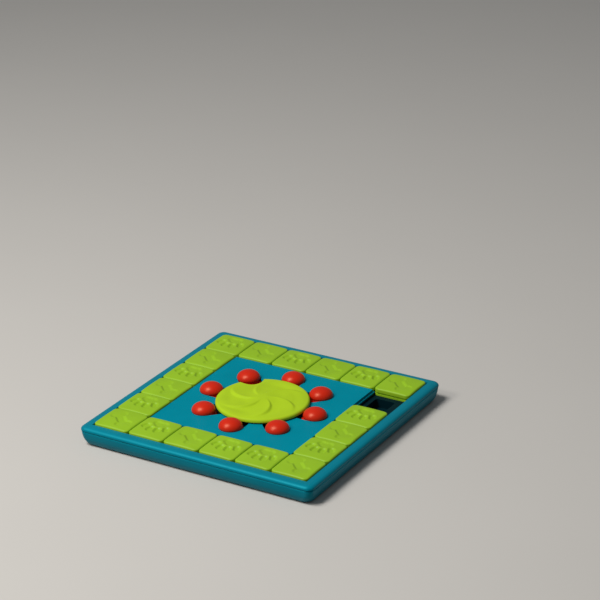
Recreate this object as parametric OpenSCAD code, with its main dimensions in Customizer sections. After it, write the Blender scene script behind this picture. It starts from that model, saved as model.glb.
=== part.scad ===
// Dog puzzle feeder: nineteen sliding tiles round a square track, eight sliding knobs
// and a notched wheel that locks them, over twenty-eight treat pockets.
// Millimetres, +Z up. The origin is on the table, under the middle of the wheel.

/* [Tiles] */
// Distance from one tile place to the next
pitch = 64; // [62:0.5:67]
// Gap between two tiles that stand side by side
tile_gap = 0.6; // [0.5:0.1:1]
// Gap between a tile and the wall of its track
wall_gap = 0.8; // [0.6:0.1:1.4]
// Radius of a tile's corners, seen from above
tile_corner = 5; // [4:0.5:8]
// Radius of a tile's crowned top
crown_r = 280; // [250:5:320]
// Height of a tile's corners above the rim
tile_proud = 1.3; // [0.8:0.1:2]
// Thickness of a tile's top skin
tile_skin = 2.4; // [2.2:0.1:3]
// Thickness of the wall behind a tile's groove, and of its ribs
tile_wall = 1.6; // [1.2:0.1:2.4]
// Thickness of the foot that runs under the lips
tile_foot = 2.7; // [2:0.1:3.5]
// Depth of the paw or bone pressed into a tile
relief = 1.2; // [0.6:0.1:1.6]
// Overall size of the paw print
paw_size = 46; // [38:1:48]
// Overall length of the bone
bone_length = 47; // [38:1:50]

/* [Track] */
// Depth of the lips below the rim
lip_drop = 4; // [3:0.2:5]
// Thickness of the lips
lip_t = 2.2; // [1.6:0.1:2.6]
// How far a lip reaches into a tile's groove
lip_grip = 1.7; // [1.2:0.1:2.2]
// Running clearance above and below a lip, a flange or a foot
run_gap = 0.4; // [0.3:0.1:0.6]
// Play left between two faces that slide on each other
slide_gap = 0.3; // [0.3:0.05:0.5]

/* [Housing] */
// Width of the rim outside the track
rim_w = 16; // [14:0.5:20]
// Height of the rim and the deck above the table
rim_h = 32; // [30:0.5:36]
// Radius of the housing's corners, seen from above
corner_r = 12; // [11:0.5:15]
// Radius along the top edge of the rim
rim_round = 5; // [3:0.5:6]
// Height of the upper frame above the parting line
seam_drop = 6.5; // [5:0.5:8]
// How far the upper frame stands out over the lower shell
seam_step = 0.6; // [0.3:0.1:1]
// Radius of the tucked-in lower edge
tuck_r = 10.5; // [8:0.5:11]
// Wall thickness of the housing
wall = 2.5; // [2:0.1:3]
// Thickness of the floor of the lower shell
floor_t = 2.4; // [2:0.1:3]
// Height of the tongue inside the parting line
tongue_h = 2; // [1:0.5:3]
// Thickness of that tongue
tongue_t = 1.2; // [0.8:0.1:1.6]

/* [Pockets] */
// Width of a track pocket, across the track
pocket_w = 34; // [30:1:38]
// Length of a track pocket, along the track
pocket_l = 46; // [36:1:50]
// Depth of a track pocket
pocket_depth = 14.4; // [10:0.2:15]
// Width of the ledge between the deck and a track pocket
pocket_ledge = 11.5; // [9:0.5:14]
// Radius of the pockets' upright corners
pocket_corner = 4; // [2:0.5:6]
// Thickness of the trays and of the pockets' floors
tray_t = 2; // [1.6:0.1:2.4]
// Thickness of the pockets' walls
pocket_wall = 1.8; // [1.4:0.1:2.4]
// Side of a pocket under a knob
knob_pocket = 29; // [24:1:30]
// Depth of a pocket under a knob
knob_pocket_depth = 15; // [10:0.5:16]
// Gap between two trays that lie side by side
tray_gap = 0.3; // [0.2:0.1:0.6]

/* [Knobs] */
// Number of knobs, and of their slots
knobs = 8; // [4:1:8]
// Radius of the ring on which the knobs stand
knob_ring = 95.5; // [94:0.5:97]
// Diameter of a knob
knob_d = 36.4; // [32:0.2:37]
// Height of a knob above the deck
knob_h = 14; // [11:0.5:16]
// How far a knob slides towards the wheel
knob_travel = 20; // [16:1:22]
// Gap between a knob and its slot, all round
slot_gap = 0.4; // [0.3:0.1:0.8]
// How far a knob's flange reaches past its slot
flange_lap = 2.4; // [1.8:0.1:2.6]
// Thickness of a knob's flange
flange_t = 2.4; // [1.8:0.1:3]
// Wall thickness of a knob
knob_wall = 2.4; // [1.8:0.1:3]

/* [Deck] */
// Thickness of the deck
deck_t = 3; // [2.5:0.1:4]
// Thickness of the fences that guide the flanges
fence_t = 1.6; // [1.2:0.1:2]

/* [Wheel] */
// Gap between the wheel's edge and the knobs at deck height
wheel_gap = 0.3; // [0.2:0.1:1]
// Height of the wheel's edge above the deck
wheel_lift = 3; // [2.5:0.1:4]
// Height of the wheel's edge
wheel_edge = 3; // [2.4:0.1:4]
// Rise of the wheel's top from its edge to its middle
wheel_rise = 5.5; // [4:0.5:8]
// Thickness of the wheel's top skin
wheel_skin = 2.2; // [1.8:0.1:2.3]
// Gap between a knob and the notch, all round
notch_gap = 2.3; // [1.5:0.1:3]
// Direction in which the notch faces at rest
notch_angle = 135; // [0:45:315]
// Number of swirl grooves in the wheel's top
swirls = 8; // [5:1:10]
// How fast a swirl groove widens towards the edge
swirl_w = 8; // [4:0.5:12]
// Depth of a swirl groove
swirl_depth = 0.9; // [0.5:0.1:1.2]
// Diameter of the wheel's hub
hub_d = 24; // [20:1:28]
// Diameter of the deck's collar round the hub
collar_d = 34; // [32:1:38]
// Gap between the hub and its bore
hub_gap = 0.3; // [0.2:0.05:0.5]
// Thickness of the washer under the hub
washer_t = 1.6; // [1.2:0.1:2]

/* [Screws and feet] */
// Diameter of the case screws
screw_d = 3; // [2.5:0.1:3.2]
// Diameter of a case screw's head
screw_head_d = 5.4; // [5:0.1:5.8]
// Height of a case screw's head
screw_head_h = 2.2; // [1.6:0.1:2.4]
// Depth of a screw head's recess in the floor
screw_recess = 4; // [3.6:0.1:5]
// Diameter of the screw bosses
boss_d = 8.4; // [8:0.1:8.6]
// Clearance round a screw's shank and head
screw_gap = 0.2; // [0.1:0.05:0.4]
// Diameter of the wheel's screw
hub_screw_d = 4; // [3.5:0.1:5]
// Diameter of the wheel screw's head
hub_head_d = 8; // [7:0.5:10]
// Height of the wheel screw's head
hub_head_h = 2.4; // [2:0.1:3]
// Length of the wheel screw's thread in the hub
hub_screw_l = 12; // [9:0.5:13]
// Diameter of the rubber feet
foot_d = 22; // [16:1:28]
// How far the feet stand out under the floor
foot_out = 1.5; // [1:0.1:2]
// Depth of the feet's seats in the floor
foot_seat = 0.8; // [0.5:0.1:1.2]
// Distance of the feet from the housing's sides
foot_inset = 40; // [32:1:60]

/* [Hidden] */
$fn = 64;
places = 6;          // tile places along one side of the track
cut = 1;             // how far a cutting shape runs past what it cuts
fine = 180;          // facets on the crown's sphere

// Plan sizes
tile_w = pitch - tile_gap;
outer_place = (places - 1) / 2 * pitch;
track_out = outer_place + tile_w / 2 + wall_gap;
deck_half = outer_place - tile_w / 2 - wall_gap;
tray_half = track_out + rim_w;
shell_half = tray_half - seam_step;
shell_corner = corner_r - seam_step;
lip_reach = wall_gap + lip_grip;
groove_depth = lip_grip + run_gap;

// Heights, from the rim down
lip_z = rim_h - lip_drop - lip_t;
groove_z = lip_z - run_gap;
groove_h = lip_t + 2 * run_gap;
tile_z = groove_z - tile_foot;
track_z = tile_z - slide_gap;
deck_z = rim_h - deck_t;
flange_z = deck_z - run_gap - flange_t;
knob_tray_z = flange_z - run_gap;
seam_z = rim_h - seam_drop;
shell_z = foot_out;
floor_z = shell_z + floor_t;
head_z = shell_z + screw_recess;

// Tile crown: its corners stand tile_proud above the rim
tile_reach = sqrt(2) * (tile_w / 2 - tile_corner) + tile_corner;
crown_z = rim_h + tile_proud - sqrt(crown_r * crown_r - tile_reach * tile_reach);
tile_inside = tile_w - 2 * (groove_depth + tile_wall);

// Knobs and wheel
knob_r = knob_d / 2;
slot_r = knob_r + slot_gap;
flange_r = slot_r + flange_lap;
wheel_r = knob_ring - knob_r - wheel_gap;
wheel_z = rim_h + wheel_lift;
wheel_top = wheel_z + wheel_edge;
wheel_ball = (wheel_r * wheel_r + wheel_rise * wheel_rise) / (2 * wheel_rise);
collar_z = flange_z;
hub_z = collar_z - slide_gap;
hub_flange_r = collar_d / 2;
knob_pocket_r = knob_ring + 1.5;

// Trays
tray_in = deck_half - wall - 1.5;
tray_out = track_out + wall + 0.5;
pocket_y = deck_half + pocket_ledge + pocket_w / 2;
knob_tray_half = tray_in - tray_gap - 0.7;
tray_hole_r = collar_d / 2 + 4;

// Screws: along the rim, and under the deck
tongue_half = tray_half - wall - slide_gap;
rim_screw_r = (tray_out + tongue_half - tongue_t) / 2;
rim_screws = [for (side = [0:90:270], t = [-2, 0, 2])
    let(x = t * pitch) [x * cos(side) + rim_screw_r * sin(side), x * sin(side) - rim_screw_r * cos(side)]];
boss_split = track_z - tray_t;
corner_screw = knob_tray_half - boss_d - 6;
inner_screw_r = 84;
deck_screws = concat(
    [for (x = [-1, 1], y = [-1, 1]) corner_screw * [x, y]],
    [for (k = [0:3]) let(a = 22.5 + 90 * k) inner_screw_r * [cos(a), sin(a)]]);
foot_at = tray_half - foot_inset;

// One letter for each place, from the front left corner round to the right.
// The tenth place is the gap.
motifs = "BPBPPBPBP BPBPBPBPBP";
gap_place = 10;

// Square with round corners, about the origin
module round_square(w, l, r) {
    square([w - 2 * r, l], center = true);
    square([w, l - 2 * r], center = true);
    for (x = [-1, 1], y = [-1, 1]) translate([x * (w / 2 - r), y * (l / 2 - r)]) circle(r);
}

// Bar with round ends, between two points
module round_bar(from, to, d) {
    span = to - from;
    for (p = [from, to]) translate(p) circle(d = d);
    translate(from) rotate(atan2(span[1], span[0])) translate([0, -d / 2]) square([norm(span), d]);
}

// Square slab with round corners. The child is the section of its edge,
// drawn outwards from the centre of a corner.
module edge_slab(half, r, z0, z1) {
    c = half - r;
    for (a = [0:90:270]) rotate(a) translate([c, c, 0]) rotate_extrude(angle = 90) children();
    for (a = [0, 90]) rotate(a) rotate([90, 0, 0]) linear_extrude(2 * c, center = true) {
        for (side = [0, 1]) mirror([side, 0]) translate([c, 0]) children();
        translate([-c, z0]) square([2 * c, z1 - z0]);
    }
}

// Section of an edge that is rounded at its top
module edge_round_top(r, z0, z1, f) {
    intersection() {
        translate([0, z0]) square([r, z1 - z0]);
        union() {
            translate([0, z0]) square([r - f, z1 - z0]);
            translate([0, z0]) square([r, z1 - z0 - f]);
            translate([r - f, z1 - f]) circle(f);
        }
    }
}

// Section of an edge that is rounded at its foot
module edge_round_foot(r, z0, z1, f) {
    translate([0, z0 + f]) square([r, z1 - z0 - f]);
    translate([0, z0]) square([r - f, z1 - z0]);
    intersection() {
        translate([r - f, z0]) square([f, f + cut]);
        translate([r - f, z0 + f]) circle(f);
    }
}

// Square ring wall between two half widths
module ring_wall(inner, outer, z0, z1) {
    translate([0, 0, z0]) linear_extrude(z1 - z0) difference() {
        square(2 * outer, center = true);
        square(2 * inner, center = true);
    }
}

module at_each(points) {
    for (p = points) translate(p) children();
}

module at_knob(k) {
    rotate(360 * k / knobs) children();
}

module tube(d, bore, z0, z1) {
    translate([0, 0, z0]) difference() {
        cylinder(d = d, h = z1 - z0);
        translate([0, 0, -cut]) cylinder(d = bore, h = z1 - z0 + 2 * cut);
    }
}

// ---- housing ----

module lower_shell() {
    color("darkcyan") difference() {
        union() {
            difference() {
                edge_slab(shell_half, shell_corner, shell_z, seam_z)
                    edge_round_foot(shell_corner, shell_z, seam_z, tuck_r);
                edge_slab(shell_half - wall, shell_corner - wall, floor_z, seam_z + cut)
                    edge_round_foot(shell_corner - wall, floor_z, seam_z + cut, tuck_r - wall);
            }
            seam_tongue();
            intersection() {
                at_each(rim_screws) translate([0, 0, shell_z]) cylinder(d = boss_d, h = boss_split - shell_z);
                edge_slab(shell_half, shell_corner, shell_z, seam_z)
                    edge_round_foot(shell_corner, shell_z, seam_z, tuck_r);
            }
            at_each(deck_screws) translate([0, 0, shell_z]) cylinder(d = boss_d, h = screw_recess + tray_t);
        }
        at_each(concat(rim_screws, deck_screws)) {
            translate([0, 0, -cut]) cylinder(d = screw_head_d + 2 * screw_gap, h = head_z + cut);
            cylinder(d = screw_d + 2 * screw_gap, h = rim_h);
        }
        at_feet() translate([0, 0, shell_z - cut]) cylinder(d = foot_d, h = foot_seat + cut);
    }
}

module seam_tongue() {
    r = corner_r - wall - slide_gap;
    inner = tongue_half - tongue_t;
    translate([0, 0, seam_z - wall]) linear_extrude(wall + tongue_h) difference() {
        round_square(2 * tongue_half, 2 * tongue_half, r);
        round_square(2 * inner, 2 * inner, r - tongue_t);
    }
}

module at_feet() {
    for (x = [-1, 1], y = [-1, 1]) translate([x * foot_at, y * foot_at, 0]) children();
}

module rubber_feet() {
    color("dimgray") at_feet() cylinder(d = foot_d, h = foot_out + foot_seat);
}

module upper_frame() {
    color("darkcyan") difference() {
        union() {
            difference() {
                edge_slab(tray_half, corner_r, seam_z, rim_h)
                    edge_round_top(corner_r, seam_z, rim_h, rim_round);
                edge_slab(tray_half - wall, corner_r - wall, seam_z - cut, rim_h - wall)
                    edge_round_top(corner_r - wall, seam_z - cut, rim_h - wall, rim_round - wall);
            }
            ring_wall(track_out, track_out + wall, track_z, rim_h - wall / 2);
            ring_wall(track_out - lip_reach, track_out + wall / 2, lip_z, lip_z + lip_t);
            at_each(rim_screws) translate([0, 0, boss_split]) cylinder(d = boss_d, h = rim_h - wall - boss_split);
        }
        translate([0, 0, lip_z + lip_t]) linear_extrude(rim_h) square(2 * track_out, center = true);
        at_each(rim_screws) cylinder(d = screw_d + 2 * screw_gap, h = rim_h - wall);
    }
}

module centre_deck() {
    color("darkcyan") difference() {
        union() {
            translate([0, 0, deck_z]) linear_extrude(deck_t) square(2 * deck_half, center = true);
            ring_wall(deck_half - wall, deck_half, track_z, rim_h - deck_t / 2);
            ring_wall(deck_half - wall / 2, deck_half + lip_reach, lip_z, lip_z + lip_t);
            for (k = [0:knobs - 1]) at_knob(k) translate([0, 0, knob_tray_z])
                linear_extrude(deck_z - knob_tray_z) slot_outline(flange_r + run_gap + fence_t);
            at_each(deck_screws) translate([0, 0, knob_tray_z]) cylinder(d = boss_d, h = deck_z - knob_tray_z);
            translate([0, 0, collar_z]) cylinder(d = collar_d, h = wheel_z - slide_gap - collar_z);
        }
        for (k = [0:knobs - 1]) at_knob(k) {
            linear_extrude(rim_h + cut) slot_outline(slot_r);
            linear_extrude(deck_z) slot_outline(flange_r + run_gap);
        }
        at_each(deck_screws) cylinder(d = screw_d + 2 * screw_gap, h = rim_h - deck_t / 3);
        translate([0, 0, collar_z - cut]) cylinder(d = hub_d + 2 * hub_gap, h = rim_h);
    }
}

// Outline swept by a circle as a knob slides along the X axis
module slot_outline(r) {
    round_bar([knob_ring - knob_travel, 0], [knob_ring, 0], 2 * r);
}

// ---- trays ----

// Tray under one side of the track, with its five pockets
module track_tray(side) {
    pockets = [for (k = [0:places - 2]) [k * pitch - outer_place, -pocket_y]];
    rotate(90 * side) difference() {
        union() {
            translate([-tray_out, -tray_out, track_z - tray_t])
                cube([tray_out + tray_in - tray_gap, tray_out - tray_in, tray_t]);
            at_each(pockets) pocket_block(pocket_l, pocket_w, track_z - tray_t / 2);
        }
        at_each(pockets) pocket_hollow(pocket_l, pocket_w, track_z, pocket_depth);
    }
}

module pocket_block(l, w, top) {
    translate([0, 0, floor_z]) linear_extrude(top - floor_z)
        round_square(l + 2 * pocket_wall, w + 2 * pocket_wall, pocket_corner + pocket_wall);
}

// The pocket itself, and the open foot of its walls below the pocket's floor
module pocket_hollow(l, w, top, depth) {
    translate([0, 0, top - depth]) linear_extrude(depth + cut) round_square(l, w, pocket_corner);
    linear_extrude(top - depth - tray_t) round_square(l, w, pocket_corner);
}

module track_tray_front() { color("darkslategray") track_tray(0); }
module track_tray_right() { color("darkslategray") track_tray(1); }
module track_tray_back() { color("darkslategray") track_tray(2); }
module track_tray_left() { color("darkslategray") track_tray(3); }

module knob_tray() {
    tube_z = head_z + tray_t;
    color("darkslategray") difference() {
        union() {
            translate([0, 0, knob_tray_z - tray_t]) linear_extrude(tray_t)
                round_square(2 * knob_tray_half, 2 * knob_tray_half, pocket_corner);
            for (k = [0:knobs - 1]) at_knob(k) translate([knob_pocket_r, 0])
                pocket_block(knob_pocket, knob_pocket, knob_tray_z - tray_t / 2);
            at_each(deck_screws) translate([0, 0, tube_z])
                cylinder(d = boss_d, h = knob_tray_z - tray_t / 2 - tube_z);
        }
        for (k = [0:knobs - 1]) at_knob(k) translate([knob_pocket_r, 0])
            pocket_hollow(knob_pocket, knob_pocket, knob_tray_z, knob_pocket_depth);
        at_each(deck_screws) cylinder(d = screw_d + 2 * screw_gap, h = rim_h);
        cylinder(r = tray_hole_r, h = rim_h);
    }
}

// ---- screws ----

// Self-tapping screw driven up from below, with a cross recess in its head
module case_screw(tip_z) {
    recess = screw_head_d / 2;
    difference() {
        union() {
            translate([0, 0, head_z - screw_head_h]) cylinder(d = screw_head_d, h = screw_head_h);
            translate([0, 0, head_z - screw_head_h / 2]) cylinder(d = screw_d, h = tip_z - head_z + screw_head_h / 2);
        }
        for (a = [0, 90]) rotate(a) translate([-recess / 2, -recess / 8, head_z - screw_head_h - cut])
            cube([recess, recess / 4, cut + screw_head_h / 2]);
    }
}

module frame_screws() {
    color("silver") at_each(rim_screws) case_screw(rim_h - wall - 1);
}

module deck_screws() {
    color("silver") at_each(deck_screws) case_screw(rim_h - deck_t / 3 - 0.5);
}

// ---- wheel ----

// Ball that gives the wheel its domed top
module wheel_dome(r) {
    translate([0, 0, wheel_top + wheel_rise - wheel_ball]) sphere(r, $fn = fine);
}

// Crescent that leaves the middle, bends clockwise and widens towards the edge
module swirl_outline() {
    bend = wheel_r * 0.62;
    intersection() {
        difference() {
            translate([0, -bend]) circle(bend);
            translate([0, swirl_w - bend]) circle(bend - swirl_w - 0.5);
        }
        difference() {
            circle(wheel_r * 0.86);
            circle(wheel_r * 0.2);
        }
        translate([0, -wheel_r]) square([wheel_r, 2 * wheel_r]);
    }
}

module wheel() {
    color("yellowgreen") difference() {
        union() {
            difference() {
                intersection() {
                    translate([0, 0, wheel_z]) cylinder(r = wheel_r, h = wheel_edge + 2 * wheel_rise);
                    wheel_dome(wheel_ball);
                }
                wheel_hollow();
            }
            translate([0, 0, hub_z]) cylinder(d = hub_d, h = wheel_top - hub_z);
        }
        at_notch() cylinder(r = knob_r + notch_gap, h = 2 * wheel_top);
        difference() {
            linear_extrude(2 * wheel_top) for (k = [0:swirls - 1])
                rotate(360 * k / swirls + notch_angle) swirl_outline();
            wheel_dome(wheel_ball - swirl_depth);
        }
        cylinder(d = hub_screw_d + screw_gap, h = hub_z + hub_screw_l + 1);
    }
}

// Place of the notch's middle
module at_notch() {
    rotate(notch_angle) translate([knob_ring - knob_travel, 0]) children();
}

// Space under the wheel's skin, round the hub's flange, the ribs and the notch's wall
module wheel_hollow() {
    difference() {
        intersection() {
            cylinder(r = wheel_r - wall, h = 2 * wheel_top);
            wheel_dome(wheel_ball - wheel_skin);
        }
        cylinder(r = hub_flange_r, h = 2 * wheel_top);
        at_notch() cylinder(r = knob_r + notch_gap + wall, h = 2 * wheel_top);
        for (k = [0:swirls - 1]) rotate(360 * (k + 0.5) / swirls + notch_angle)
            translate([0, -fence_t / 2]) cube([wheel_r, fence_t, 2 * wheel_top]);
    }
}

module wheel_washer() {
    color("silver") tube(collar_d, hub_screw_d + 2 * screw_gap, hub_z - washer_t, hub_z);
}

module wheel_screw() {
    top = hub_z - washer_t;
    color("silver") difference() {
        union() {
            translate([0, 0, top - hub_head_h]) cylinder(d = hub_head_d, h = hub_head_h);
            translate([0, 0, top - hub_head_h / 2]) cylinder(d = hub_screw_d, h = hub_head_h / 2 + washer_t + hub_screw_l);
        }
        for (a = [0, 90]) rotate(a) translate([-hub_head_d / 4, -hub_head_d / 16, top - hub_head_h - cut])
            cube([hub_head_d / 2, hub_head_d / 8, cut + hub_head_h / 2]);
    }
}

// ---- knobs ----

// Upper quarter of an ellipse, from the deck's top up
module dome_section(r, h) {
    steps = 16;
    translate([0, rim_h]) polygon(concat([[0, 0]],
        [for (k = [0:steps]) let(a = 90 * k / steps) [r * cos(a), h * sin(a)]]));
}

// Domed knob, hollow underneath, on the flange that runs below the deck
module knob(k) {
    color("red") at_knob(k) translate([knob_ring, 0, 0]) rotate_extrude() difference() {
        union() {
            dome_section(knob_r, knob_h);
            translate([0, flange_z]) square([knob_r, rim_h - flange_z]);
            translate([0, flange_z]) square([flange_r, flange_t]);
        }
        dome_section(knob_r - knob_wall, knob_h - knob_wall);
        translate([0, flange_z - cut]) square([knob_r - knob_wall, rim_h - flange_z + cut]);
    }
}

module knob_1() { knob(0); }
module knob_2() { knob(1); }
module knob_3() { knob(2); }
module knob_4() { knob(3); }
module knob_5() { knob(4); }
module knob_6() { knob(5); }
module knob_7() { knob(6); }
module knob_8() { knob(7); }

// ---- tiles ----

module crown(r) {
    translate([0, 0, crown_z]) sphere(r, $fn = fine);
}

// Paw print: a pad with four toes towards the front
module paw_outline() {
    s = paw_size / 46;
    scale([s, s]) {
        translate([0, 12]) circle(8);
        for (side = [-1, 1]) translate([6 * side, 15.5]) circle(6);
        for (toe = [[-18, 2, -24], [-7, -9, -8], [7, -9, 8], [18, 2, 24]])
            translate([toe[0], toe[1]]) rotate(toe[2]) round_bar([0, -2], [0, 2], 8.4);
    }
}

// Bone, lying from the back left towards the front right
module bone_outline() {
    lobe = bone_length * 0.28;
    end = bone_length / 2 - lobe / 2;
    rotate(-45) {
        square([2 * end, lobe * 0.7], center = true);
        for (x = [-1, 1], y = [-1, 1]) translate([x * end, y * lobe * 0.4]) circle(d = lobe);
    }
}

// Tile about its own middle: crowned top, groove for the lips, hollow and ribs underneath
module tile_body(motif) {
    difference() {
        intersection() {
            translate([0, 0, tile_z]) linear_extrude(rim_h) round_square(tile_w, tile_w, tile_corner);
            crown(crown_r);
        }
        translate([0, 0, groove_z]) linear_extrude(groove_h) difference() {
            square(tile_w + 2 * cut, center = true);
            round_square(tile_w - 2 * groove_depth, tile_w - 2 * groove_depth, tile_corner - groove_depth);
        }
        difference() {
            intersection() {
                linear_extrude(2 * rim_h) round_square(tile_inside, tile_inside, tile_corner / 2);
                crown(crown_r - tile_skin);
            }
            for (a = [0, 90]) rotate(a) translate([-tile_w / 2, -tile_wall / 2, groove_z])
                cube([tile_w, tile_wall, rim_h]);
        }
        difference() {
            translate([0, 0, rim_h]) linear_extrude(rim_h) {
                if (motif == "P") paw_outline();
                if (motif == "B") bone_outline();
            }
            crown(crown_r - relief);
        }
    }
}

// Middle of a place, counted from the front left corner round to the right
function place_xy(n) = let(side = floor((n - 1) / (places - 1)), k = (n - 1) % (places - 1),
    x = k * pitch - outer_place, y = -outer_place)
    [x * cos(90 * side) - y * sin(90 * side), x * sin(90 * side) + y * cos(90 * side)];

module tile(n) {
    color("yellowgreen") translate(place_xy(n)) tile_body(motifs[n - 1]);
}

module tile_01() { tile(1); }
module tile_02() { tile(2); }
module tile_03() { tile(3); }
module tile_04() { tile(4); }
module tile_05() { tile(5); }
module tile_06() { tile(6); }
module tile_07() { tile(7); }
module tile_08() { tile(8); }
module tile_09() { tile(9); }
module tile_11() { tile(11); }
module tile_12() { tile(12); }
module tile_13() { tile(13); }
module tile_14() { tile(14); }
module tile_15() { tile(15); }
module tile_16() { tile(16); }
module tile_17() { tile(17); }
module tile_18() { tile(18); }
module tile_19() { tile(19); }
module tile_20() { tile(20); }

lower_shell();
rubber_feet();
upper_frame();
centre_deck();
track_tray_front();
track_tray_right();
track_tray_back();
track_tray_left();
knob_tray();
frame_screws();
deck_screws();
wheel();
wheel_washer();
wheel_screw();
knob_1();
knob_2();
knob_3();
knob_4();
knob_5();
knob_6();
knob_7();
knob_8();
tile_01();
tile_02();
tile_03();
tile_04();
tile_05();
tile_06();
tile_07();
tile_08();
tile_09();
tile_11();
tile_12();
tile_13();
tile_14();
tile_15();
tile_16();
tile_17();
tile_18();
tile_19();
tile_20();
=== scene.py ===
import math
import bpy
from mathutils import Matrix, Vector


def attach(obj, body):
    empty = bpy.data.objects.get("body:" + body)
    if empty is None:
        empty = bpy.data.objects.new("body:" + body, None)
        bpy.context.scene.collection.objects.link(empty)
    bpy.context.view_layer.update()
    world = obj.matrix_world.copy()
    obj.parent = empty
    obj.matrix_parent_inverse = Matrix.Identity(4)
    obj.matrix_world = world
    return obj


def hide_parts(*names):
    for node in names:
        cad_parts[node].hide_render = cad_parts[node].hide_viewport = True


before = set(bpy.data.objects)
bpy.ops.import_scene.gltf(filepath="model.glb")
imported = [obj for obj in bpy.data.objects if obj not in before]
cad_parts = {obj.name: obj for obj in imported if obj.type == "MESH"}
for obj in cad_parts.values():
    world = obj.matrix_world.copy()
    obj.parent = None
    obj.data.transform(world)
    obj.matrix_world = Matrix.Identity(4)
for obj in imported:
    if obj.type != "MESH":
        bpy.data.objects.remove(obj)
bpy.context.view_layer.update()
bpy.ops.object.select_all(action="DESELECT")


# ---- Lower shell ----
# The lower half of the housing: one deep teal moulding with walls that curve in towards the
# floor, and a boss for each screw. Its mould leaves a fine satin grain.
TEAL = (0, 128, 150)
SHELL_EDGE = 0.0004
SHELL_HALF = 0.2079
SHELL_CORNER = 0.0114
SHELL_TUCK = 0.0105       # how far the lower edge is tucked in
SHELL_FOOT = 0.0015       # height of its underside
SHELL_SEAM = 0.0255       # height of its joint with the rim
SIDE_TUCK = 0.0059        # by how much the wall curves in from the joint down
SIDE_LEAN = 0.0014        # by how much it leans in besides
CORNER_GROWTH = 0.010     # growth of the corner radius from the seam to the floor
CORNER_REACH = 0.04       # how far along a wall that growth is felt
SEAM_GAP = (0.0241, 0.0013)   # where the shadow gap at the top starts, and its depth
FLOOR_EASE = (0.014, 0.0114)  # how far in the floor follows the wall, and how softly it stops
WALL_SKIN = 0.00025       # how near the outside a point counts as the wall's face
WALL_CUTS = (1.7, 2, 2.5, 3, 4, 5, 6, 7, 8, 9, 11, 13, 15, 17, 19, 21, 24, 24.2)   # heights in mm
SIDE_STEP = 0.02          # the full stroke of each push on the wall


def linear(rgb, gain=1.0):
    """Screen colour, 0 to 255, as the linear light that a shader takes."""
    out = []
    for c in rgb:
        c = c / 255
        c = c / 12.92 if c <= 0.04045 else ((c + 0.055) / 1.055) ** 2.4
        out.append(min(1.0, c * gain))
    return (*out, 1.0)


def moulded_plastic(name, rgb, rough, grain=0.06, uneven=0.05, shine=0.3, tint=(1, 1, 1, 1)):
    """Satin moulded plastic: a fine bump from the mould, and a slow drift in tone and gloss."""
    mat = bpy.data.materials.new(name)
    mat.use_nodes = True
    nodes, links = mat.node_tree.nodes, mat.node_tree.links
    shader = nodes["Principled BSDF"]
    shader.inputs["IOR"].default_value = 1.49
    shader.inputs["Specular IOR Level"].default_value = shine
    shader.inputs["Specular Tint"].default_value = tint
    place = nodes.new("ShaderNodeTexCoord")

    drift = nodes.new("ShaderNodeTexNoise")
    drift.inputs["Scale"].default_value = 22
    drift.inputs["Detail"].default_value = 3
    links.new(place.outputs["Object"], drift.inputs["Vector"])
    tone = nodes.new("ShaderNodeValToRGB")
    tone.color_ramp.elements[0].position = 0.3
    tone.color_ramp.elements[0].color = linear(rgb, 1 - uneven)
    tone.color_ramp.elements[1].position = 0.7
    tone.color_ramp.elements[1].color = linear(rgb, 1 + uneven)
    links.new(drift.outputs["Fac"], tone.inputs["Fac"])
    links.new(tone.outputs["Color"], shader.inputs["Base Color"])

    rub = nodes.new("ShaderNodeTexNoise")
    rub.inputs["Scale"].default_value = 90
    rub.inputs["Detail"].default_value = 4
    links.new(place.outputs["Object"], rub.inputs["Vector"])
    gloss = nodes.new("ShaderNodeMapRange")
    gloss.inputs["To Min"].default_value = rough - 0.05
    gloss.inputs["To Max"].default_value = rough + 0.06
    links.new(rub.outputs["Fac"], gloss.inputs["Value"])
    links.new(gloss.outputs["Result"], shader.inputs["Roughness"])

    pores = nodes.new("ShaderNodeTexNoise")
    pores.inputs["Scale"].default_value = 1400
    pores.inputs["Detail"].default_value = 2
    links.new(place.outputs["Object"], pores.inputs["Vector"])
    bump = nodes.new("ShaderNodeBump")
    bump.inputs["Strength"].default_value = grain
    bump.inputs["Distance"].default_value = 0.0002
    links.new(pores.outputs["Fac"], bump.inputs["Height"])
    links.new(bump.outputs["Normal"], shader.inputs["Normal"])
    return mat


def take_up(piece):
    """Makes a piece the only one selected, and the active one."""
    bpy.ops.object.select_all(action="DESELECT")
    piece.select_set(True)
    bpy.context.view_layer.objects.active = piece


def break_edges(piece, width, segments=2, angle=35):
    """Rounds a piece's sharp edges and shades its curves smooth."""
    take_up(piece)
    bevel = piece.modifiers.new("edges", "BEVEL")
    bevel.width = width
    bevel.segments = segments
    bevel.limit_method = "ANGLE"
    bevel.angle_limit = math.radians(angle)
    bevel.use_clamp_overlap = True
    bpy.ops.object.modifier_apply(modifier=bevel.name)
    bpy.ops.object.shade_smooth_by_angle(angle=math.radians(angle))
    even = piece.modifiers.new("even", "WEIGHTED_NORMAL")
    even.weight = 100
    even.keep_sharp = True
    bpy.ops.object.modifier_apply(modifier=even.name)


def push(piece, name, reach, amount, way="Z"):
    """Moves each point along an axis by reach times amount(point), from 0 to 1."""
    group = piece.vertex_groups.new(name=name)
    for v in piece.data.vertices:
        w = amount(v.co)
        if w > 0:
            group.add([v.index], w, "REPLACE")
    lift = piece.modifiers.new(name, "DISPLACE")
    lift.direction = way
    lift.mid_level = 0
    lift.strength = reach
    lift.vertex_group = group.name
    take_up(piece)
    bpy.ops.object.modifier_apply(modifier=lift.name)
    piece.vertex_groups.clear()


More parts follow.
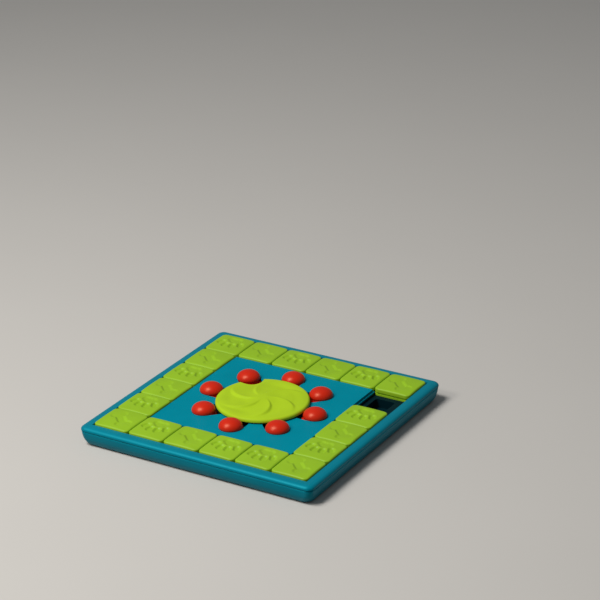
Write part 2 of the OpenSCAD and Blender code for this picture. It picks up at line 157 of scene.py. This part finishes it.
def moulding(node, name, edge):
    """A copy of a solid with its facets joined, its sharp edges broken and its curves smooth."""
    piece = bpy.data.objects.new(name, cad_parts[node].data.copy())
    bpy.context.scene.collection.objects.link(piece)
    piece.data.materials.clear()
    take_up(piece)
    bpy.ops.object.mode_set(mode="EDIT")
    bpy.ops.mesh.select_all(action="SELECT")
    bpy.ops.mesh.remove_doubles(threshold=0.000002)
    bpy.ops.mesh.dissolve_limited(angle_limit=math.radians(0.6))
    bpy.ops.object.mode_set(mode="OBJECT")
    break_edges(piece, edge)
    return piece


def hand_over(piece, material, body, node):
    """Gives a finished piece its material, its body, and the solid that it stands for."""
    piece.data.materials.clear()
    piece.data.materials.append(material)
    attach(piece, body)
    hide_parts(node)


def fuller_side(shell):
    """Rounds the outer wall over its whole height, and its corners more and more towards the floor.

    The top of the wall is set back in a thin shadow gap."""
    take_up(shell)
    bpy.ops.object.mode_set(mode="EDIT")
    for level in WALL_CUTS:
        bpy.ops.mesh.select_all(action="SELECT")
        bpy.ops.mesh.bisect(plane_co=(0, 0, level / 1000), plane_no=(0, 0, 1))
    bpy.ops.object.mode_set(mode="OBJECT")

    def move(p):
        """How far a point of the wall moves, along X and along Y."""
        core = SHELL_HALF - SHELL_CORNER
        qx, qy = abs(p.x) - core, abs(p.y) - core
        out = Vector((max(0.0, qx), max(0.0, qy)))
        rise = min(SHELL_TUCK, max(0.0, p.z - SHELL_FOOT))
        inset = SHELL_TUCK - math.sqrt(SHELL_TUCK ** 2 - (SHELL_TUCK - rise) ** 2)
        deep = SHELL_CORNER - out.length - inset
        if out.length == 0 or deep < -WALL_SKIN:
            return Vector((0, 0))
        low = min(1.0, max(0.0, (SHELL_SEAM - p.z) / (SHELL_SEAM - SHELL_FOOT)))
        tuck = max(inset, SIDE_TUCK * (1 - math.sqrt(1 - low * low)) + SIDE_LEAN * low)
        if p.z > SEAM_GAP[0] and deep < WALL_SKIN:
            tuck = SEAM_GAP[1]
        turn = CORNER_GROWTH * low ** 3
        hold = min(1.0, max(0.0, (FLOOR_EASE[0] - deep) / FLOOR_EASE[1]))
        step = out.normalized() * (turn - tuck + inset)
        step.x -= turn * min(1.0, max(0.0, 1 + qx / CORNER_REACH))
        step.y -= turn * min(1.0, max(0.0, 1 + qy / CORNER_REACH))
        if qy < 0:
            step.x = inset - tuck
        if qx < 0:
            step.y = inset - tuck
        return Vector((math.copysign(1, p.x) * step.x, math.copysign(1, p.y) * step.y)) * hold

    moves = [move(v.co) for v in shell.data.vertices]
    for way, axis in (("X", 0), ("Y", 1)):
        for sign in (1, -1):
            shares = iter([max(0.0, sign * m[axis] / SIDE_STEP) for m in moves])
            push(shell, "side", SIDE_STEP * sign, lambda p: next(shares), way)
    bpy.ops.object.shade_smooth_by_angle(angle=math.radians(35))


teal_plastic = moulded_plastic("teal_satin_plastic", TEAL, 0.44, shine=0.6, tint=(0.05, 0.85, 1, 1))
lower_shell = moulding("lower_shell", "lower_shell_moulding", SHELL_EDGE)
fuller_side(lower_shell)
hand_over(lower_shell, teal_plastic, "base", "lower_shell")


# ---- Rubber feet ----
# Four soft pads pressed into round seats in the floor, with a softened rim.
soft_rubber = moulded_plastic("feet_rubber", (42, 44, 46), 0.72, grain=0.25, uneven=0.1)
rubber_feet = moulding("rubber_feet", "rubber_feet_pads", 0.0005)
hand_over(rubber_feet, soft_rubber, "base", "rubber_feet")


# ---- Upper frame ----
# The rim round the board, moulded in the same teal plastic. Its outer edge is rolled over,
# and its skirt stands a little proud of the shell, so the joint shows as a thin dark line.
RIM_HALF = 0.2085
RIM_CORNER = 0.012
RIM_ROUND = 0.005         # radius of the solid's own rolled edge
RIM_SOFT = (0.0095, 0.0056)   # how far in and how far down the fuller roll reaches
RIM_TOP = 0.032
RIM_SLICE = 0.00075       # distance between the cuts that the roll bends at
RIM_STEP = 0.002          # the full stroke of the push that rolls the edge
RIM_SKIN = 0.0003         # how near the top a point counts as its face


def fuller_rim(rim):
    """Rolls the outer edge over more gently than a plain quarter round."""
    take_up(rim)
    bpy.ops.object.mode_set(mode="EDIT")
    for step in range(1, 7):
        at = RIM_HALF - RIM_ROUND - step * RIM_SLICE
        for axis in ((1, 0, 0), (-1, 0, 0), (0, 1, 0), (0, -1, 0)):
            bpy.ops.mesh.select_all(action="SELECT")
            bpy.ops.mesh.bisect(plane_co=(axis[0] * at, axis[1] * at, 0), plane_no=axis)
    bpy.ops.object.mode_set(mode="OBJECT")

    def sink(p):
        core = RIM_HALF - RIM_CORNER
        out = math.hypot(max(0.0, abs(p.x) - core), max(0.0, abs(p.y) - core))
        edge = max(0.0, RIM_CORNER - out)
        drop = RIM_ROUND - math.sqrt(RIM_ROUND ** 2 - max(0.0, RIM_ROUND - edge) ** 2)
        if out == 0 or edge > RIM_SOFT[0] or abs(RIM_TOP - drop - p.z) > RIM_SKIN:
            return 0
        lean = max(0.0, 1 - edge / RIM_SOFT[0])
        return (RIM_SOFT[1] * (1 - math.sqrt(max(0.0, 1 - lean ** 2))) - drop) / RIM_STEP

    push(rim, "roll", -RIM_STEP, lambda p: max(0.0, sink(p)))
    bpy.ops.object.shade_smooth_by_angle(angle=math.radians(35))


upper_frame = moulding("upper_frame", "upper_frame_moulding", 0.0005)
fuller_rim(upper_frame)
hand_over(upper_frame, teal_plastic, "base", "upper_frame")


# ---- Centre deck ----
# The flat plate in the middle, with eight slots for the knobs and a lip for the tiles.
# It is the same teal plastic, with its colour painted a touch brighter: painted light where the light falls
# flat on it.
# Painted light: the deck's colour is the rim's teal made brighter, standing in for the light that falls flat
# on it.
deck_plastic = moulded_plastic("deck_teal_painted_light", (0, 138, 160), 0.45, shine=0.04, tint=(0.1, 0.8, 1, 1))
centre_deck = moulding("centre_deck", "centre_deck_moulding", 0.0005)
hand_over(centre_deck, deck_plastic, "base", "centre_deck")


# ---- Trays ----
# Five trays with the treat pockets, in teal painted near black as painted shade for the deep pockets,
# screwed in from below: four round the track, laid like a pinwheel, and one under the deck.
# Painted shade: the trays' colour is a darkened teal standing in for the shade deep in the pockets.
tray_shaded_plastic = moulded_plastic("tray_painted_shade_plastic", (0, 34, 42), 0.5, shine=0.1)
for tray in ("track_tray_front", "track_tray_right", "track_tray_back", "track_tray_left", "knob_tray"):
    tray_piece = moulding(tray, tray + "_moulding", 0.0004)
    hand_over(tray_piece, tray_shaded_plastic, "base", tray)


# ---- Screws ----
# Zinc-plated steel screws, driven up from below: twelve in the rim, eight in the deck,
# and one with its washer in the wheel's hub.
def plated_steel(name):
    """Zinc-plated steel with the fine rings that turning leaves."""
    mat = bpy.data.materials.new(name)
    mat.use_nodes = True
    nodes, links = mat.node_tree.nodes, mat.node_tree.links
    shader = nodes["Principled BSDF"]
    shader.inputs["Base Color"].default_value = (0.56, 0.57, 0.6, 1)
    shader.inputs["Metallic"].default_value = 1
    place = nodes.new("ShaderNodeTexCoord")
    streak = nodes.new("ShaderNodeTexNoise")
    streak.inputs["Scale"].default_value = 1800
    streak.inputs["Detail"].default_value = 3
    links.new(place.outputs["Object"], streak.inputs["Vector"])
    gloss = nodes.new("ShaderNodeMapRange")
    gloss.inputs["To Min"].default_value = 0.24
    gloss.inputs["To Max"].default_value = 0.42
    links.new(streak.outputs["Fac"], gloss.inputs["Value"])
    links.new(gloss.outputs["Result"], shader.inputs["Roughness"])
    bump = nodes.new("ShaderNodeBump")
    bump.inputs["Strength"].default_value = 0.15
    bump.inputs["Distance"].default_value = 0.00005
    links.new(streak.outputs["Fac"], bump.inputs["Height"])
    links.new(bump.outputs["Normal"], shader.inputs["Normal"])
    return mat


steel = plated_steel("zinc_plated_steel")
for screws, body in (("frame_screws", "base"), ("deck_screws", "base"),
                     ("wheel_screw", "wheel_body"), ("wheel_washer", "wheel_body")):
    screw_piece = moulding(screws, screws + "_turned", 0.00015)
    hand_over(screw_piece, steel, body, screws)


# ---- Tiles ----
# Nineteen lime green mouldings, 63 mm square, with a crowned top, full soft edges, a groove all
# round for the lips of the track, and a paw print or a bone pressed into the top.
TILE = 0.063              # side
TILE_CORNER = 0.0075      # corner radius, seen from above
TILE_FOOT = 0.0227        # underside
GROOVE = (0.0254, 0.0284)
GROOVE_DEEP = 0.0021
TILE_TOP = 0.0355         # top of the rolled edge, where the crown starts
TILE_SOFT = 0.0032        # radius of the rolled edge
CROWN = (0.480, 0.0283)   # the crown's radius, and how far from the middle it is level with the edge
CROWN_STEP = 0.001        # the full stroke of the push that crowns the top
RELIEF = 0.0023           # depth of the print
PRINT_FROM = 0.0012       # how far below the rolled edge's top the print still reaches
TILE_SLICE = 0.0007       # distance between the cuts that the crown and print bend at
LIME = (152, 196, 38)
PITCH = 0.064


def rounded_square(name, side, corner, z, segments=6):
    """A flat square face with round corners, left open in edit mode with the face selected."""
    bpy.ops.object.select_all(action="DESELECT")
    bpy.ops.mesh.primitive_plane_add(size=side, location=(0, 0, z))
    piece = bpy.context.object
    piece.name = name
    bpy.ops.object.transform_apply(location=True, rotation=True, scale=True)
    bpy.ops.object.mode_set(mode="EDIT")
    bpy.ops.mesh.select_mode(type="VERT")
    bpy.ops.mesh.select_all(action="SELECT")
    bpy.ops.mesh.bevel(offset=corner, segments=segments, affect="VERTICES", profile=0.5)
    bpy.ops.mesh.select_mode(type="FACE")
    bpy.ops.mesh.select_all(action="SELECT")
    return piece


def raise_face(height):
    """Extrudes the selected faces straight up."""
    bpy.ops.mesh.extrude_region_move(TRANSFORM_OT_translate={"value": (0, 0, height)})


def roll_edge(radius, steps):
    """Closes a face inwards along a quarter round."""
    for k in range(steps):
        a, b = math.pi / 2 * k / steps, math.pi / 2 * (k + 1) / steps
        bpy.ops.mesh.inset(thickness=radius * (math.cos(a) - math.cos(b)),
                           depth=radius * (math.sin(b) - math.sin(a)), use_even_offset=True)


def select_faces(piece, test):
    """In edit mode, selects the faces whose middle and normal pass a test."""
    bpy.ops.mesh.select_mode(type="FACE")
    bpy.ops.mesh.select_all(action="DESELECT")
    bpy.ops.object.mode_set(mode="OBJECT")
    for face in piece.data.polygons:
        face.select = test(face.center, face.normal)
    bpy.ops.object.mode_set(mode="EDIT")


def select_edges(piece, test):
    """In edit mode, selects the edges whose both ends pass a test."""
    bpy.ops.mesh.select_mode(type="EDGE")
    bpy.ops.mesh.select_all(action="DESELECT")
    bpy.ops.object.mode_set(mode="OBJECT")
    for edge in piece.data.edges:
        edge.select = all(test(piece.data.vertices[i].co) for i in edge.vertices)
    bpy.ops.object.mode_set(mode="EDIT")


def slice_grid(half, step):
    """Cuts the selected faces along evenly spaced planes both ways."""
    count = int(2 * half / step)
    for axis in ((1, 0, 0), (0, 1, 0)):
        for k in range(1, count):
            at = -half + 2 * half * k / count
            bpy.ops.mesh.select_all(action="SELECT")
            bpy.ops.mesh.bisect(plane_co=(axis[0] * at, axis[1] * at, 0), plane_no=axis)


def tile_blank(name):
    """One tile about the origin, before its print."""
    foot = rounded_square(name, TILE, TILE_CORNER, TILE_FOOT)
    raise_face(GROOVE[0] - TILE_FOOT)
    bpy.ops.mesh.inset(thickness=GROOVE_DEEP, depth=0)
    raise_face(GROOVE[1] - GROOVE[0])
    bpy.ops.mesh.delete(type="ONLY_FACE")
    bpy.ops.object.mode_set(mode="OBJECT")

    cap = rounded_square(name + "_cap", TILE, TILE_CORNER, GROOVE[1])
    raise_face(TILE_TOP - TILE_SOFT - GROOVE[1])
    roll_edge(TILE_SOFT, 7)
    select_faces(cap, lambda c, n: abs(c.z - GROOVE[1]) < 1e-6)
    bpy.ops.mesh.delete(type="ONLY_FACE")
    bpy.ops.object.mode_set(mode="OBJECT")

    bpy.ops.object.select_all(action="DESELECT")
    cap.select_set(True)
    foot.select_set(True)
    bpy.context.view_layer.objects.active = foot
    bpy.ops.object.join()
    bpy.ops.object.mode_set(mode="EDIT")
    select_edges(foot, lambda p: abs(p.z - GROOVE[1]) < 1e-6)
    bpy.ops.mesh.bridge_edge_loops()
    select_faces(foot, lambda c, n: abs(c.z - TILE_FOOT) < 1e-6)
    bpy.ops.mesh.delete(type="ONLY_FACE")
    slice_grid(TILE / 2, TILE_SLICE)
    select_edges(foot, lambda p: abs(p.z - TILE_FOOT) < 1e-6)
    bpy.ops.mesh.edge_face_add()
    bpy.ops.mesh.select_all(action="SELECT")
    bpy.ops.mesh.normals_make_consistent(inside=False)
    bpy.ops.object.mode_set(mode="OBJECT")

    def crown(p):
        share = min(1.0, max(0.0, (p.z - TILE_TOP + TILE_SOFT) / TILE_SOFT))
        ball, level = CROWN
        height = math.sqrt(ball ** 2 - p.x ** 2 - p.y ** 2) - math.sqrt(ball ** 2 - level ** 2)
        return share * share * height / CROWN_STEP

    push(foot, "crown", CROWN_STEP, lambda p: max(0.0, crown(p)))
    push(foot, "corners", -CROWN_STEP, lambda p: min(1.0, max(0.0, -crown(p))))
    return foot


def soft_inside(distance, width):
    """1 well inside an outline and 0 outside it, with a soft slope across its edge."""
    t = min(1.0, max(0.0, 0.5 - distance / width))
    return t * t * (3 - 2 * t)


def to_bar(p, a, b, r):
    """Distance from a point to a bar with round ends; negative inside."""
    ab, ap = b - a, p - a
    t = min(1.0, max(0.0, ap.dot(ab) / ab.dot(ab)))
    return (ap - ab * t).length - r


def paw_print(p):
    """Depth of a paw print at a point, 0 to 1: a shallow pad and four toes towards the front."""
    q = Vector((p.x, p.y)) * 1000
    pad = min((q - Vector((0, 13))).length - 8,
              (q - Vector((-6, 16))).length - 6,
              (q - Vector((6, 16))).length - 6)
    toes = 99
    for x, y, lean in ((-18, 2, -24), (-6.5, -5.5, -8), (6.5, -5.5, 8), (18, 2, 24)):
        way = Vector((-math.sin(math.radians(lean)), math.cos(math.radians(lean)))) * 3
        toes = min(toes, to_bar(q, Vector((x, y)) - way, Vector((x, y)) + way, 4.5))
    return max(soft_inside(toes, 4.6), 0.75 * soft_inside(pad, 5.5))


def bone_print(p):
    """Depth of a bone at a point, 0 to 1, from the back left to the front right; its ends are shallow."""
    q = Vector((p.x - p.y, p.x + p.y)) * (1000 / math.sqrt(2))
    bone = to_bar(q, Vector((-16.5, 0)), Vector((16.5, 0)), 6.7)
    for x in (-16.5, 16.5):
        for y in (-5.9, 5.9):
            bone = min(bone, (q - Vector((x, y))).length - 7.05)
    return soft_inside(bone, 5) * max(0.2, 1 - (q.x / 22) ** 2)


def printed_tile(blank, name, depth):
    """A copy of the blank with a print pressed into its top."""
    tile = bpy.data.objects.new(name, blank.data.copy())
    bpy.context.scene.collection.objects.link(tile)
    push(tile, "print", -RELIEF, lambda p: depth(p) if p.z > TILE_TOP - PRINT_FROM else 0)
    take_up(tile)
    bpy.ops.object.shade_smooth_by_angle(angle=math.radians(40))
    return tile


lime_plastic = moulded_plastic("lime_satin_plastic", LIME, 0.44, grain=0.08, shine=0.25)
blank = tile_blank("tile_blank")
masters = {"P": printed_tile(blank, "paw_tile", paw_print),
           "B": printed_tile(blank, "bone_tile", bone_print)}
PRINTS = "BPBPPBPBP BPBPBPBPBP"   # one letter a place, from the front left corner round
for number, letter in enumerate(PRINTS, 1):
    if letter == " ":
        continue
    side, along = divmod(number - 1, 5)
    x, y = along * PITCH - 2.5 * PITCH, -2.5 * PITCH
    for _ in range(side):
        x, y = -y, x
    node = f"tile_{number:02d}"
    tile = bpy.data.objects.new(node + "_moulding", masters[letter].data.copy())
    bpy.context.scene.collection.objects.link(tile)
    tile.location = (x, y, 0)
    take_up(tile)
    bpy.ops.object.transform_apply(location=True, rotation=False, scale=False)
    hand_over(tile, lime_plastic, node + "_body", node)
for spare in (blank, *masters.values()):
    bpy.data.objects.remove(spare)


# ---- Wheel ----
# A domed lime disc that turns over the deck's collar; its hub below isn't shaped here. Six soft
# folds swirl out from its middle, and one round notch in its edge lets a knob slide in.
WHEEL_R = 0.0748
WHEEL_Z = (0.0345, 0.0402)    # underside and top of its edge
WHEEL_RISE = 0.0038           # height of the dome over the edge
NOTCH_R = 0.0204
NOTCH_AT = Vector((math.cos(math.radians(135)), math.sin(math.radians(135)), 0)) * 0.0753
WHEEL_SOFT = 0.0044           # radius of the rolled edge
FOLD = 0.0027             # depth of a fold
FOLDS = 6
FOLD_TURN = math.radians(14)
FOLD_STEEP = 0.15         # share of a fold's width that its steep side takes
FOLD_FROM = (0.005, 0.028)    # where the folds start round the middle, and over what length
FOLD_TO = (0.0702, 0.021)     # where they have died out, and over what length
WHEEL_SLICE = 0.0012      # distance between the cuts that the dome and folds bend at
WHEEL_LIME = (178, 212, 40)


def wheel_disc(name):
    """The disc with its edge rolled, its notch cut and its top sliced fine."""
    bpy.ops.object.select_all(action="DESELECT")
    edge = WHEEL_Z[1] - WHEEL_SOFT - WHEEL_Z[0]
    bpy.ops.mesh.primitive_cylinder_add(vertices=224, radius=WHEEL_R, depth=edge,
                                        location=(0, 0, WHEEL_Z[0] + edge / 2))
    disc = bpy.context.object
    disc.name = name
    bpy.ops.object.transform_apply(location=True)
    bpy.ops.object.mode_set(mode="EDIT")
    select_faces(disc, lambda c, n: n.z > 0.9)
    roll_edge(WHEEL_SOFT, 8)
    bpy.ops.object.mode_set(mode="OBJECT")
    bpy.ops.mesh.primitive_cylinder_add(vertices=96, radius=NOTCH_R, depth=0.02,
                                        location=(NOTCH_AT.x, NOTCH_AT.y, WHEEL_Z[0]))
    cutter = bpy.context.object
    take_up(disc)
    cut = disc.modifiers.new("notch", "BOOLEAN")
    cut.operation = "DIFFERENCE"
    cut.object = cutter
    bpy.ops.object.modifier_apply(modifier=cut.name)
    bpy.data.objects.remove(cutter)

    bpy.ops.object.mode_set(mode="EDIT")
    select_faces(disc, lambda c, n: n.z < -0.9)
    bpy.ops.mesh.delete(type="ONLY_FACE")
    slice_grid(WHEEL_R, WHEEL_SLICE)
    select_edges(disc, lambda p: abs(p.z - WHEEL_Z[0]) < 1e-6)
    bpy.ops.mesh.edge_face_add()
    bpy.ops.mesh.select_all(action="SELECT")
    bpy.ops.mesh.normals_make_consistent(inside=False)
    bpy.ops.object.mode_set(mode="OBJECT")
    return disc


def dome(p):
    """How high the dome stands at a point, from 0 at the edge to 1 in the middle."""
    edge = WHEEL_R - WHEEL_SOFT
    ball = (edge ** 2 + WHEEL_RISE ** 2) / (2 * WHEEL_RISE)
    r2 = min(p.x ** 2 + p.y ** 2, edge ** 2)
    return max(0.0, (math.sqrt(ball ** 2 - r2) - (ball - WHEEL_RISE)) / WHEEL_RISE)


def fold(p):
    """Depth of the swirl at a point: each fold falls off steeply on one side and rises slowly again."""
    r = math.hypot(p.x, p.y)
    turn = math.atan2(p.y, p.x) + math.asin(min(1.0, r / WHEEL_R))
    phase = (turn + FOLD_TURN) / (2 * math.pi / FOLDS) % 1.0
    drop = min(1.0, phase / FOLD_STEEP)
    rise = max(0.0, (phase - FOLD_STEEP) / (1 - FOLD_STEEP))
    crease = drop * drop * (3 - 2 * drop) * (1 - rise * rise)
    swell = min(1.0, max(0.0, (r - FOLD_FROM[0]) / FOLD_FROM[1]))
    fade = min(1.0, max(0.0, (FOLD_TO[0] - r) / FOLD_TO[1]))
    return crease * swell * swell * (3 - 2 * swell) * fade * fade * (3 - 2 * fade)


wheel_plastic = moulded_plastic("wheel_satin_plastic", WHEEL_LIME, 0.45, grain=0.06, shine=0.06)
wheel = wheel_disc("wheel_moulding")
push(wheel, "dome", WHEEL_RISE, lambda p: dome(p) if p.z > WHEEL_Z[1] - WHEEL_SOFT - 1e-6 else 0)
push(wheel, "folds", -FOLD, lambda p: fold(p) if p.z > WHEEL_Z[1] - 1e-6 else 0)
take_up(wheel)
bpy.ops.object.shade_smooth_by_angle(angle=math.radians(40))
hand_over(wheel, wheel_plastic, "wheel_body", "wheel")


# ---- Knobs ----
# Eight glossy red domes with a recess below, which stand through the deck's slots on a wide
# flange underneath. A dog pushes each one in towards the wheel to open the pocket below it.
KNOB_R = 0.0190
KNOB_TOP = 0.046
KNOB_WIDE = 0.0334        # height of its widest line
KNOB_ROLL = 0.001         # the turned-in edge below that line
NECK_R = 0.0180
FLANGE_R = 0.0209
FLANGE = (0.0262, 0.0286)
KNOB_RING = 0.0953
KNOB_WALL = 0.0024
KNOB_RECESS = 0.005
RED = (214, 40, 18)


def knob_master(name):
    """One knob about the origin: a ball pressed flat, with its neck and its flange below."""
    bpy.ops.object.select_all(action="DESELECT")
    bpy.ops.mesh.primitive_uv_sphere_add(segments=96, ring_count=48, radius=KNOB_R, location=(0, 0, 0))
    knob = bpy.context.object
    knob.name = name
    bpy.ops.object.mode_set(mode="EDIT")
    bpy.ops.mesh.select_all(action="SELECT")
    bpy.ops.transform.resize(value=(1, 1, (KNOB_TOP - KNOB_WIDE) / KNOB_R))
    bpy.ops.transform.translate(value=(0, 0, KNOB_WIDE))
    bpy.ops.mesh.bisect(plane_co=(0, 0, KNOB_WIDE - 1e-7), plane_no=(0, 0, 1), clear_inner=True)
    select_edges(knob, lambda p: p.z < KNOB_WIDE + 1e-6)
    low, wide = KNOB_WIDE, KNOB_R
    stations = [(KNOB_R - KNOB_ROLL * (1 - math.cos(a)), KNOB_WIDE - KNOB_ROLL * math.sin(a))
                for a in (math.radians(30), math.radians(60), math.radians(90))]
    stations += [(NECK_R, KNOB_WIDE - KNOB_ROLL), (NECK_R, FLANGE[1]),
                 (FLANGE_R, FLANGE[1]), (FLANGE_R, FLANGE[0])]
    for r, z in stations:
        bpy.ops.mesh.extrude_edges_move(TRANSFORM_OT_translate={"value": (0, 0, z - low)})
        bpy.ops.transform.resize(value=(r / wide, r / wide, 1), center_override=(0, 0, z))
        low, wide = z, r
    bpy.ops.mesh.edge_face_add()
    bpy.ops.mesh.inset(thickness=FLANGE_R - NECK_R + KNOB_WALL, depth=0)
    raise_face(KNOB_RECESS)
    bpy.ops.mesh.select_all(action="SELECT")
    bpy.ops.mesh.normals_make_consistent(inside=False)
    bpy.ops.object.mode_set(mode="OBJECT")
    take_up(knob)
    bpy.ops.object.shade_smooth_by_angle(angle=math.radians(50))
    return knob


red_plastic = moulded_plastic("red_gloss_plastic", RED, 0.34, grain=0.03, shine=0.45, tint=(1, 0.62, 0.4, 1))
knob_blank = knob_master("knob_blank")
for k in range(8):
    angle = math.radians(45 * k)
    node = f"knob_{k + 1}"
    knob = bpy.data.objects.new(node + "_moulding", knob_blank.data.copy())
    bpy.context.scene.collection.objects.link(knob)
    knob.location = (KNOB_RING * math.cos(angle), KNOB_RING * math.sin(angle), 0)
    take_up(knob)
    bpy.ops.object.transform_apply(location=True, rotation=False, scale=False)
    hand_over(knob, red_plastic, node + "_body", node)
bpy.data.objects.remove(knob_blank)


# ---- Studio ----
# A plain pale floor, a broad soft lamp high on the front left with a small one lower beside it,
# and the camera at its place on the front right.
def matte(name, colour, bounce):
    """A matte ground that shows one colour, and throws less light back at the object."""
    mat = bpy.data.materials.new(name)
    mat.use_nodes = True
    nodes, links = mat.node_tree.nodes, mat.node_tree.links
    shader = nodes["Principled BSDF"]
    shader.inputs["Roughness"].default_value = 0.85
    place = nodes.new("ShaderNodeTexCoord")
    fleck = nodes.new("ShaderNodeTexNoise")
    fleck.inputs["Scale"].default_value = 3
    links.new(place.outputs["Object"], fleck.inputs["Vector"])
    tone = nodes.new("ShaderNodeValToRGB")
    tone.color_ramp.elements[0].color = (*[c * 0.97 for c in colour], 1)
    tone.color_ramp.elements[1].color = (*colour, 1)
    links.new(fleck.outputs["Fac"], tone.inputs["Fac"])
    links.new(tone.outputs["Color"], shader.inputs["Base Color"])
    dark = nodes.new("ShaderNodeBsdfDiffuse")
    dark.inputs["Color"].default_value = (*bounce, 1)
    ray = nodes.new("ShaderNodeLightPath")
    seen = nodes.new("ShaderNodeMath")
    seen.operation = "ADD"
    seen.use_clamp = True
    links.new(ray.outputs["Is Camera Ray"], seen.inputs[0])
    links.new(ray.outputs["Is Glossy Ray"], seen.inputs[1])
    through = nodes.new("ShaderNodeMath")
    through.operation = "ADD"
    through.use_clamp = True
    links.new(seen.outputs["Value"], through.inputs[0])
    links.new(ray.outputs["Is Transmission Ray"], through.inputs[1])
    both = nodes.new("ShaderNodeMixShader")
    links.new(through.outputs["Value"], both.inputs["Fac"])
    links.new(dark.outputs["BSDF"], both.inputs[1])
    links.new(shader.outputs["BSDF"], both.inputs[2])
    links.new(both.outputs["Shader"], nodes["Material Output"].inputs["Surface"])
    return mat


bpy.ops.object.select_all(action="DESELECT")
bpy.ops.mesh.primitive_plane_add(size=14, location=(0, 0, 0))
floor_plane = bpy.context.object
floor_plane.name = "studio_floor"
floor_plane.data.materials.append(matte("pale_floor", (0.62, 0.60, 0.57), (0.22, 0.20, 0.18)))


def soft_lamp(name, place, aim, size, power, colour):
    """A square lamp at a place, turned to a point."""
    bpy.ops.object.light_add(type="AREA", location=place)
    lamp = bpy.context.object
    lamp.name = name
    lamp.data.size = size
    lamp.data.energy = power
    lamp.data.color = colour
    lamp.rotation_euler = (Vector(aim) - Vector(place)).to_track_quat("-Z", "Y").to_euler()
    return lamp


soft_lamp("key_lamp", (-1.0, -1.25, 3.1), (0.7, 0.2, 0), 1.2, 88, (1.0, 0.98, 0.95))
soft_lamp("window_lamp", (-1.1, -2.0, 2.0), (0, 0, 0), 0.55, 18, (1.0, 0.95, 0.88))

world = bpy.data.worlds.new("studio_air")
bpy.context.scene.world = world
world.use_nodes = True
world.node_tree.nodes["Background"].inputs["Color"].default_value = (0.9, 0.95, 1.0, 1)
world.node_tree.nodes["Background"].inputs["Strength"].default_value = 0.15

CAMERA_FAR = 3.534
AZIMUTH, ELEVATION, ROLL = math.radians(31.792), math.radians(26.105), math.radians(-1.225)
back = Vector((math.sin(AZIMUTH) * math.cos(ELEVATION),
               -math.cos(AZIMUTH) * math.cos(ELEVATION), math.sin(ELEVATION)))
right = (-back).cross(Vector((0, 0, 1))).normalized()
up = right.cross(-back)
level_right = right * math.cos(ROLL) + up * math.sin(ROLL)
level_up = -right * math.sin(ROLL) + up * math.cos(ROLL)
bpy.ops.object.camera_add()
camera = bpy.context.object
camera.name = "studio_camera"
turn = Matrix((level_right, level_up, back)).transposed().to_4x4()
camera.matrix_world = Matrix.Translation(Vector((0, 0, RIM_TOP)) + back * CAMERA_FAR) @ turn
camera.data.sensor_width = 36
camera.data.lens = 134.58
camera.data.shift_x = 0.0622
camera.data.shift_y = 0.1721
bpy.context.scene.camera = camera
bpy.context.scene.view_settings.view_transform = "Standard"
